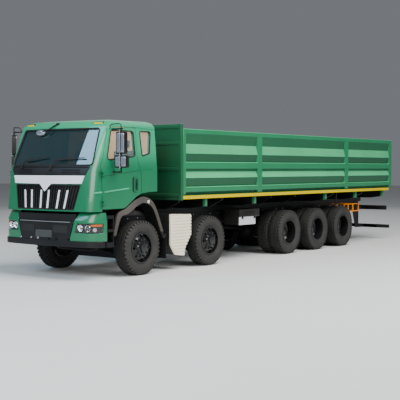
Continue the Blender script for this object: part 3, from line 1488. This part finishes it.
@dataclass(frozen=True)
class FrontEnd:
    """Headlamps, plate, bolts and dark baffles round the bumper."""

    front: float = 6.170
    half: float = 1.235
    radius: float = 0.300
    bow: float = BOW
    low: float = 0.872
    high: float = 1.037
    inner: float = 0.748
    slant: float = 0.052
    ledge_z: float = 1.060
    last_angle: float = 1.372
    bowls: tuple[Pair, ...] = ((0.858, 6.104), (1.012, 6.064))
    bowl_z: float = 0.953
    bolts: tuple[float, ...] = (0.145, 0.333, 0.629)
    bolt_z: float = 0.746

    def face_x(self, y: float, out: float) -> float:
        """Place of a bowed face that stands out before the bumper's own."""
        return self.front + out - self.bow + math.sqrt(self.bow ** 2 - y ** 2)

    def spot(self, share: float, z: float, inset: float) -> Point:
        """Point behind the lamp's outer face.

        Args:
            share: Way along the face, from its inner edge to its end on the corner.
            z: Height.
            inset: Depth behind the face.

        Returns:
            The point, on the left side.
        """
        start = self.inner + self.slant * (z - self.low) / (self.high - self.low)
        flat = self.bow * (self.half - self.radius) / (self.bow - self.radius)
        first = math.asin((self.half - self.radius) / (self.bow - self.radius))
        along = share * (flat - start + self.radius * (self.last_angle - first))
        if along < flat - start:
            y = start + along
            ahead = math.sqrt(self.bow ** 2 - y ** 2)
            return (self.front - self.bow + ahead - inset * ahead / self.bow, y - inset * y / self.bow, z)
        angle = first + (along - flat + start) / self.radius
        middle = self.front - self.bow + (self.bow - self.radius) * math.cos(first)
        reach = self.radius - inset
        return middle + reach * math.cos(angle), self.half - self.radius + reach * math.sin(angle), z

    def shell(self, shares: Pair, heights: Pair, depths: Pair) -> Mesh:
        """Closed shell that follows the lamp's face, on both sides of the truck."""
        steps = spaced(*shares, 24)
        rows = [[self.spot(s, z, depths[0]) for s in steps] + [self.spot(s, z, depths[1]) for s in reversed(steps)]
                for z in spaced(*heights, 3)]
        return Mesh().skin(rows).mirrored()

    def lamps(self) -> Pieces:
        """Makes the lamps: dark housing, bright bowls, amber part and clear cover."""
        bowls = Mesh()
        for y, x in self.bowls:
            bowls.turned(Axis.X, [(0.004, x - 0.036), (0.020, x - 0.034), (0.040, x - 0.026), (0.054, x - 0.010),
                                  (0.062, x), (0.066, x - 0.003), (0.060, x - 0.040), (0.004, x - 0.044)],
                         (y, self.bowl_z), 32)
            bowls.turned(Axis.X, [(0.004, x - 0.036), (0.013, x - 0.030), (0.015, x - 0.012), (0.008, x - 0.004)],
                         (y, self.bowl_z), 16)
        bowls.tube([self.spot(0.70, 0.930, 0.046), self.spot(0.70, 0.930, 0.016)], 0.036, 20)
        return [
            self.shell((0.0, 1.0), (self.low, self.high), (0.052, 0.058)).done("headlamp_housing", Finishes.SEAL),
            bowls.mirrored().done("headlamp_bowls", Finishes.CHROME),
            self.shell((0.55, 0.95), (0.990, 1.030), (0.006, 0.030)).done("headlamp_amber", Finishes.AMBER),
            self.shell((0.0, 1.0), (self.low, self.high), (0.0, 0.004)).done("headlamp_cover", Finishes.CLEAR)]

    def plate(self) -> Pieces:
        """Makes the blank plate in the bumper's recess, the dark vents and the bumper's pale upper edge."""
        face = self.front + 0.003
        sign = Mesh().block((face - 0.002, -0.214, 0.764), (face + 0.003, 0.214, 0.902)).done(
            "front_plate", Finishes.PLATE, Edge(0.002))
        arc = spaced(0.245, 0.605, 10)
        vent = Mesh().skin([[(self.face_x(y, 0.0165), y, z) for y in arc]
                            + [(self.face_x(y, 0.011), y, z) for y in reversed(arc)]
                            for z in (0.862, 0.93, 0.998)]).mirrored().done("bumper_vents", Finishes.SEAL)
        bead = Mesh().tube([(self.face_x(y, 0.009), y, self.ledge_z) for y in spaced(-0.66, 0.66, 20)], 0.008, 8)
        return [sign, vent, bead.done("bumper_edge", Finishes.BUMPER_EDGE)]

    def studs(self) -> Pieces:
        """Makes the bolts along the bumper's seam."""
        points = [(self.face_x(y, 0.015), s * y, self.bolt_z) for y in self.bolts for s in (1, -1)]
        piece = Mesh().turned(Axis.X, [(0.020, -0.004), (0.020, 0.004), (0.015, 0.012), (0.006, 0.014)], (0.0, 0.0), 16)
        return [Repeats.spread("bumper_bolts", piece.done("bumper_bolt", Finishes.STUD), Finishes.STUD, points)]

    def roll_bar(self) -> Pieces:
        """Makes the anti-roll bar under the engine, on two links from the rails."""
        half = ((0.430, 0.485), (0.508, 0.502), (0.530, 0.570), (0.500, 0.840))
        path = [*((-y, z) for y, z in reversed(half)), (0.0, 0.478), *half]
        return [Mesh().tube([(5.30, y, z) for y, z in path], 0.032, 14).done("roll_bar", Finishes.FRAME)]

    def baffles(self) -> Pieces:
        """Makes the dark radiator and side baffles behind the bumper, clear of the cab's arms."""
        core = Mesh().block((5.845, -0.262, 0.930), (5.857, 0.262, 1.272))
        for y in spaced(-0.255, 0.255, 25):
            core.block((5.855, y - 0.002, 0.935), (5.863, y + 0.002, 1.268))
        sides = (Mesh().block((5.925, 0.352, 1.085), (5.937, 0.850, 1.268))
                 .block((5.930, 0.352, 0.930), (5.942, 0.700, 1.090))
                 .block((5.50, 0.440, 0.900), (5.53, 0.780, 1.218)))
        return [core.done("radiator_core", Finishes.SEAL, smooth=False),
                sides.mirrored().done("side_baffles", Finishes.SEAL)]

    def build(self) -> None:
        """Makes the front end and hangs it on the chassis."""
        slots = {"headlamp_bowls": "trim_silver", "headlamp_amber": "rack_orange", "headlamp_cover": "lamp_clear",
                 "bumper_bolts": "trim_silver"}
        for make in (self.lamps, self.plate, self.studs, self.roll_bar, self.baffles):
            for piece in make():
                Dress.hang(piece, "chassis", slots.get(piece.name, "chassis_black"),
                           *(("headlamps",) if piece.name == "headlamp_cover" else ()))


@dataclass(frozen=True)
class BrakeShields:
    """Dark plates on the knuckles that close the front wheels' inner sides."""

    axles: tuple[float, ...] = AXLES[:2]
    hub_z: float = HUB_Z
    profile: tuple[Pair, ...] = ((0.004, 0.956), (0.244, 0.956), (0.254, 0.949), (0.257, 0.952), (0.257, 0.964),
                                 (0.244, 0.968), (0.004, 0.968))

    def build(self) -> None:
        """Makes the four plates and hangs them on their knuckles."""
        for number, x in enumerate(self.axles, 1):
            for side in Side:
                plate = Mesh().turned(Axis.Y, [(r, side.value * y) for r, y in self.profile], (x, self.hub_z), 40)
                word = f"a{number}_{side.word}"
                Dress.hang(plate.done("brake_shield_" + word, Finishes.FRAME), "knuckle_" + word, "chassis_black")


@dataclass(frozen=True)
class SideFittings:
    """Side lamps, arch lips, tank straps, box catches and frame bolts along the chassis."""

    arch_lamp: Pair = (4.597, 1.401)
    arch: tuple[Pair, ...] = ((5.582, 0.805), (5.447, 1.190), (5.236, 1.290), (4.947, 1.440), (4.677, 1.490),
                              (4.388, 1.310), (4.088, 0.673))
    arch_hub: Pair = (4.805, HUB_Z)
    lip_ends: float = 0.058
    lip_more: float = 0.062
    marker_x: float = -3.185
    tank: tuple[Pair, Pair] = ((-1.130, 0.535), (-0.560, 1.105))
    straps_x: Pair = (0.845, 1.575)
    strap_half: float = 0.03
    rail_y: float = 0.430
    rail_from: float = -5.60
    rail_step: float = 0.31

    def lamp(self) -> Pieces:
        """Makes the round white lamp on each arch."""
        lens, rim = Mesh(), Mesh()
        for side in Side:
            out = side.value
            rim.turned(Axis.Y, [(0.044, out * 1.195), (0.044, out * 1.212), (0.034, out * 1.214)], self.arch_lamp, 24)
            lens.turned(Axis.Y, [(0.034, out * 1.205), (0.033, out * 1.218), (0.022, out * 1.224),
                                 (0.004, out * 1.226)], self.arch_lamp, 24)
        return [rim.done("arch_lamp_rims", Finishes.BUMPER), lens.done("arch_lamp_lenses", Finishes.WHITE)]

    def lips(self) -> Pieces:
        """Makes the broad grey lip on each front arch's outer edge."""
        ends = [Vector(p) for p in (self.arch[0], *self.arch, self.arch[-1])]
        curve = []
        for a, b, c, d in zip(ends, ends[1:], ends[2:], ends[3:]):
            for t in (k / 6.0 for k in range(6)):
                curve.append((2 * b + (c - a) * t + (2 * a - 5 * b + 4 * c - d) * t ** 2
                              + (3 * b - a - 3 * c + d) * t ** 3) / 2)
        curve.append(ends[-1])
        hub, rows = Vector(self.arch_hub), []
        for k, edge in enumerate(curve):
            inward = (hub - edge).normalized()
            wide = self.lip_ends + self.lip_more * math.sin(math.pi * k / (len(curve) - 1)) ** 0.8
            outer, inner = edge - inward * 0.004, edge + inward * wide
            rows.append([(outer[0], 1.190, outer[1]), (outer[0], 1.209, outer[1]), (inner[0], 1.213, inner[1]),
                         (inner[0], 1.199, inner[1])])
        return [Mesh().skin(rows).mirrored().done("arch_lips", Finishes.ARCH, Edge(0.004))]

    def markers(self) -> Pieces:
        """Makes the amber side markers on hangers under the load floor."""
        x = self.marker_x
        lens = Mesh().prism(Axis.Y, CabForm.plate((x - 0.055, 1.045), (x + 0.055, 1.095), 0.015), 1.085, 1.105)
        stay = Mesh().block((x - 0.03, 1.072, 1.050), (x + 0.03, 1.086, 1.440))
        return [lens.mirrored().done("side_markers", Finishes.SIDE_AMBER, Edge(0.004)),
                stay.mirrored().done("marker_hangers", Finishes.FRAME, Edge(0.003))]

    def straps(self) -> Pieces:
        """Makes the fuel tank's straps and cap on the right side."""
        bands = Mesh()
        low, high = self.tank
        outer, inner = (CabForm.plate((low[0] - grow, low[1] - grow), (high[0] + grow, high[1] + grow), radius)
                        for grow, radius in ((0.006, 0.095), (-0.004, 0.088)))
        for x in self.straps_x:
            back, front = x - self.strap_half, x + self.strap_half
            bands.skin([[(place, *p) for p in ring] for place, ring in (
                (back, outer), (front, outer), (front, inner), (back, inner), (back, outer))], caps=False)
        cap = Mesh().turned(Axis.Z, [(0.045, 1.100), (0.045, 1.118), (0.052, 1.120), (0.052, 1.142), (0.030, 1.146)],
                            (1.300, -0.960), 24)
        return [bands.done("tank_straps", Finishes.FRAME), cap.done("tank_cap", Finishes.SEAL)]

    def box_fittings(self) -> Pieces:
        """Makes the battery box's catches and lid seam."""
        mesh = Mesh()
        for x in (0.62, 1.10):
            mesh.block((x - 0.02, 1.008, 0.905), (x + 0.02, 1.032, 0.985)).tube(
                [(x - 0.03, 1.034, 0.930), (x + 0.03, 1.034, 0.930)], 0.006, 8)
        mesh.tube([(0.62, 1.022, 1.045), (0.72, 1.045, 1.045), (0.98, 1.045, 1.045), (1.08, 1.022, 1.045)], 0.008, 8)
        return [mesh.done("box_catches", Finishes.FRAME, Edge(0.002))]

    def rail_bolts(self) -> Pieces:
        """Makes the rows of bolt heads on the frame rails' outer faces."""
        points = []
        for k in range(34):
            x = self.rail_from + self.rail_step * k
            points += [(x, self.rail_y, z) for z in ((0.865, 1.035) if k % 3 else (0.905, 0.950, 0.995))]
        piece = Mesh().turned(
            Axis.Y, [(0.016, -0.003), (0.016, 0.003), (0.012, 0.004), (0.0115, 0.013), (0.009, 0.015)],
            (0.0, 0.0), 6).done("rail_bolt", Finishes.STEEL, smooth=False)
        left = Repeats.spread("rail_bolts", piece, Finishes.STEEL, points)
        twin = Mesh()
        twin.bm.from_mesh(left.data)
        bpy.data.objects.remove(left)
        return [twin.mirrored().done("rail_bolts", Finishes.STEEL, smooth=False)]

    def build(self) -> None:
        """Makes all fittings and hangs them on the chassis."""
        slots = {"arch_lamp_lenses": "lamp_clear", "side_markers": "rack_orange"}
        for make in (self.lamp, self.lips, self.markers, self.straps, self.box_fittings, self.rail_bolts):
            Dress.hang_all(make(), "chassis", slots)


@dataclass(frozen=True)
class BodyTrim:
    """Tail lamps' lenses, rear plate and tailgate latches."""

    rear: float = -6.195
    lamp_z: float = 0.905
    gate_half: float = 1.166

    def tail_lenses(self) -> Pieces:
        """Makes red, amber and white lenses on the tail lamp bar."""
        made = []
        for y, word, finish in ((0.760, "red", Finishes.RED), (0.910, "amber", Finishes.AMBER),
                                (1.030, "white", Finishes.WHITE)):
            mesh = Mesh().turned(Axis.X, [(radius, self.rear + ahead) for radius, ahead in (
                (0.042, 0.021), (0.041, 0.014), (0.030, 0.008), (0.004, 0.006))], (y, self.lamp_z), 28)
            made.append(mesh.mirrored().done("tail_lens_" + word, finish))
        plate = Mesh().block((self.rear + 0.026, -0.260, 0.850), (self.rear + 0.031, 0.260, 0.960))
        return [*made, plate.done("rear_plate", Finishes.BLANK, Edge(0.002))]

    def latches(self) -> Pieces:
        """Makes the tailgate's upper latches with their levers."""
        mesh = Mesh()
        y = self.gate_half - 0.055
        for z in (2.30, 2.62):
            mesh.block((self.rear + 0.002, y - 0.045, z - 0.05), (self.rear + 0.012, y + 0.045, z + 0.05))
            mesh.tube([(self.rear + 0.006, y, z), (self.rear - 0.022, y, z)], 0.014, 12)
            mesh.tube([(self.rear - 0.016, y, z + 0.02), (self.rear - 0.020, y, z - 0.16)], 0.010, 10, 0.7)
        return [mesh.mirrored().done("gate_latches", Finishes.STEEL, Edge(0.002))]

    def build(self) -> None:
        """Makes the body's trim and hangs it."""
        Dress.hang_all(self.tail_lenses(), "chassis", {"tail_lens_red": "lamp_red"}, "lamp_clear")
        Dress.hang_all(self.latches(), "tailgate", {}, "trim_silver")


@dataclass(frozen=True)
class Studio:
    """Pale floor, soft lights and the photograph's camera."""

    place: Point = (17.673, 12.218, 2.040)
    yaw: float = 216.783
    pitch: float = -2.039
    lens: float = 80.325
    floor_size: float = 160.0
    floor_colour: Colour = (0.62, 0.62, 0.61)

    def camera(self) -> None:
        """Adds the camera at the photograph's place."""
        data = bpy.data.cameras.new("photo_camera")
        data.sensor_width = 36.0
        data.lens = self.lens
        data.clip_end = 400.0
        camera = link(bpy.data.objects.new("photo_camera", data))
        camera.location = self.place
        camera.rotation_euler = (math.radians(90.0 + self.pitch), 0.0, math.radians(self.yaw - 90.0))
        bpy.context.scene.camera = camera

    def floor(self) -> None:
        """Adds the floor, which isn't part of the truck."""
        half = self.floor_size / 2.0
        shader = Shader("pale_floor")
        speckle = shader.noise(0.8, 6.0, 0.7)
        pale = scaled(self.floor_colour, 1.06)
        shader.set(Base_Color=shader.mix(speckle, self.floor_colour, pale), Roughness=0.9)
        mesh = bpy.data.meshes.new("floor")
        mesh.from_pydata([(-half, -half, 0.0), (half, -half, 0.0), (half, half, 0.0), (-half, half, 0.0)], [],
                         [(0, 1, 2, 3)])
        mesh.materials.append(shader.material)
        link(bpy.data.objects.new("floor", mesh))

    @staticmethod
    def lamp(name: str, place: Point, target: Point, size: float, power: float,
             colour: Colour = (1.0, 1.0, 1.0)) -> None:
        """Adds one square soft light that faces a target."""
        data = bpy.data.lights.new(name, "AREA")
        data.shape = "SQUARE"
        data.size = size
        data.energy = power
        data.color = colour
        lamp = link(bpy.data.objects.new(name, data))
        lamp.location = place
        lamp.rotation_euler = (Vector(target) - Vector(place)).to_track_quat("-Z", "Y").to_euler()

    def lights(self) -> None:
        """Adds the soft lights and the pale surroundings."""
        self.lamp("key_light", (3.0, 10.0, 15.0), (0.0, 0.0, 1.6), 13.0, 5400.0)
        self.lamp("screen_light", (15.55, -4.94, 10.65), (5.8, 0.5, 2.3), 5.4, 880.0, (0.42, 0.74, 1.0))
        self.lamp("front_light", (20.0, 6.0, 9.0), (6.0, 0.0, 1.8), 9.0, 2300.0)
        self.lamp("back_light", (-16.0, -12.0, 12.0), (0.0, 0.0, 1.6), 18.0, 600.0)
        world = bpy.data.worlds.new("studio")
        world.use_nodes = True
        background = world.node_tree.nodes["Background"]
        background.inputs["Color"].default_value = (0.86, 0.92, 1.0, 1.0)
        background.inputs["Strength"].default_value = 0.2
        bpy.context.scene.world = world

    def build(self) -> None:
        """Sets the whole studio."""
        self.camera()
        self.floor()
        self.lights()


class CarriedNodes:
    """Finishes of the nodes that come over from the frame."""

    FINE = Edge(0.004)
    BROAD = Edge(0.007)
    PLAIN: tuple[tuple[str, Any, Edge | None], ...] = (
        ("ladder_frame", Finishes.FRAME, FINE),
        ("engine_block", Finishes.ENGINE, BROAD),
        ("axles", Finishes.FRAME, None),
        ("leaf_springs", Finishes.FRAME, None),
        ("front_bumper", Finishes.BUMPER, BROAD),
        ("lamp_panels", Finishes.CAB, FINE),
        ("wheel_arches", Finishes.ARCH, BROAD),
        ("ribbed_cover", Finishes.CREAM, BROAD),
        ("fuel_tank", Finishes.TANK, FINE),
        ("battery_box", Finishes.BOX, BROAD),
        ("load_floor", Finishes.FLOOR, FINE),
        ("headboard", Finishes.BOARD, BROAD),
        ("side_wall_left", Finishes.WALL, BROAD),
        ("side_wall_right", Finishes.WALL, BROAD),
        ("marker_rails", Finishes.YELLOW, FINE),
        ("underrun_bar", Finishes.FRAME, FINE),
        ("tail_lamps", Finishes.FRAME, FINE),
        ("rear_rack", Finishes.ORANGE, FINE),
        ("tailgate", Finishes.WALL, BROAD),
        ("cab_floor", Finishes.FRAME, FINE),
        ("cab_front_panel", Finishes.CAB, None),
        ("cab_roof", Finishes.CAB, None),
        ("cab_back_panel", Finishes.CAB, None),
        ("cab_glass", Finishes.GLASS, None),
        ("grille", Finishes.GRILLE, None),
        ("grille_trim", Finishes.SILVER, None),
        ("dashboard", Finishes.DASH, FINE),
    )

    @classmethod
    def build(cls, frame: dict[str, Any]) -> None:
        """Finishes every node that stays in view.
        """
        for name, finish, edge in cls.PLAIN:
            Dress.node(frame, name, finish, edge)
        for side in Side:
            Dress.node(frame, "door_" + side.word, Finishes.CAB)
            Dress.node(frame, "door_glass_" + side.word, Finishes.GLASS)
            Dress.node(frame, "mirror_" + side.word, Finishes.BUMPER, cls.FINE)
            for number in range(1, 6):
                word = f"a{number}_{side.word}"
                Dress.node(frame, "rim_" + word, Finishes.RIM)
                if number < 3:
                    Dress.node(frame, "knuckle_" + word, Finishes.FRAME, cls.FINE)


def main() -> None:
    """Builds the truck's looks in order."""
    logging.basicConfig(level=logging.INFO, format="%(name)s: %(message)s")
    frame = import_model()
    Studio().build()
    CarriedNodes.build(frame)
    Wheels().build()
    for group in (CabTrim(), DoorTrim(), CabInside(), FrontEnd(), BrakeShields(), SideFittings(), BodyTrim()):
        group.build()
    LOG.info("all pieces made")


if __name__ == "__main__":
    main()
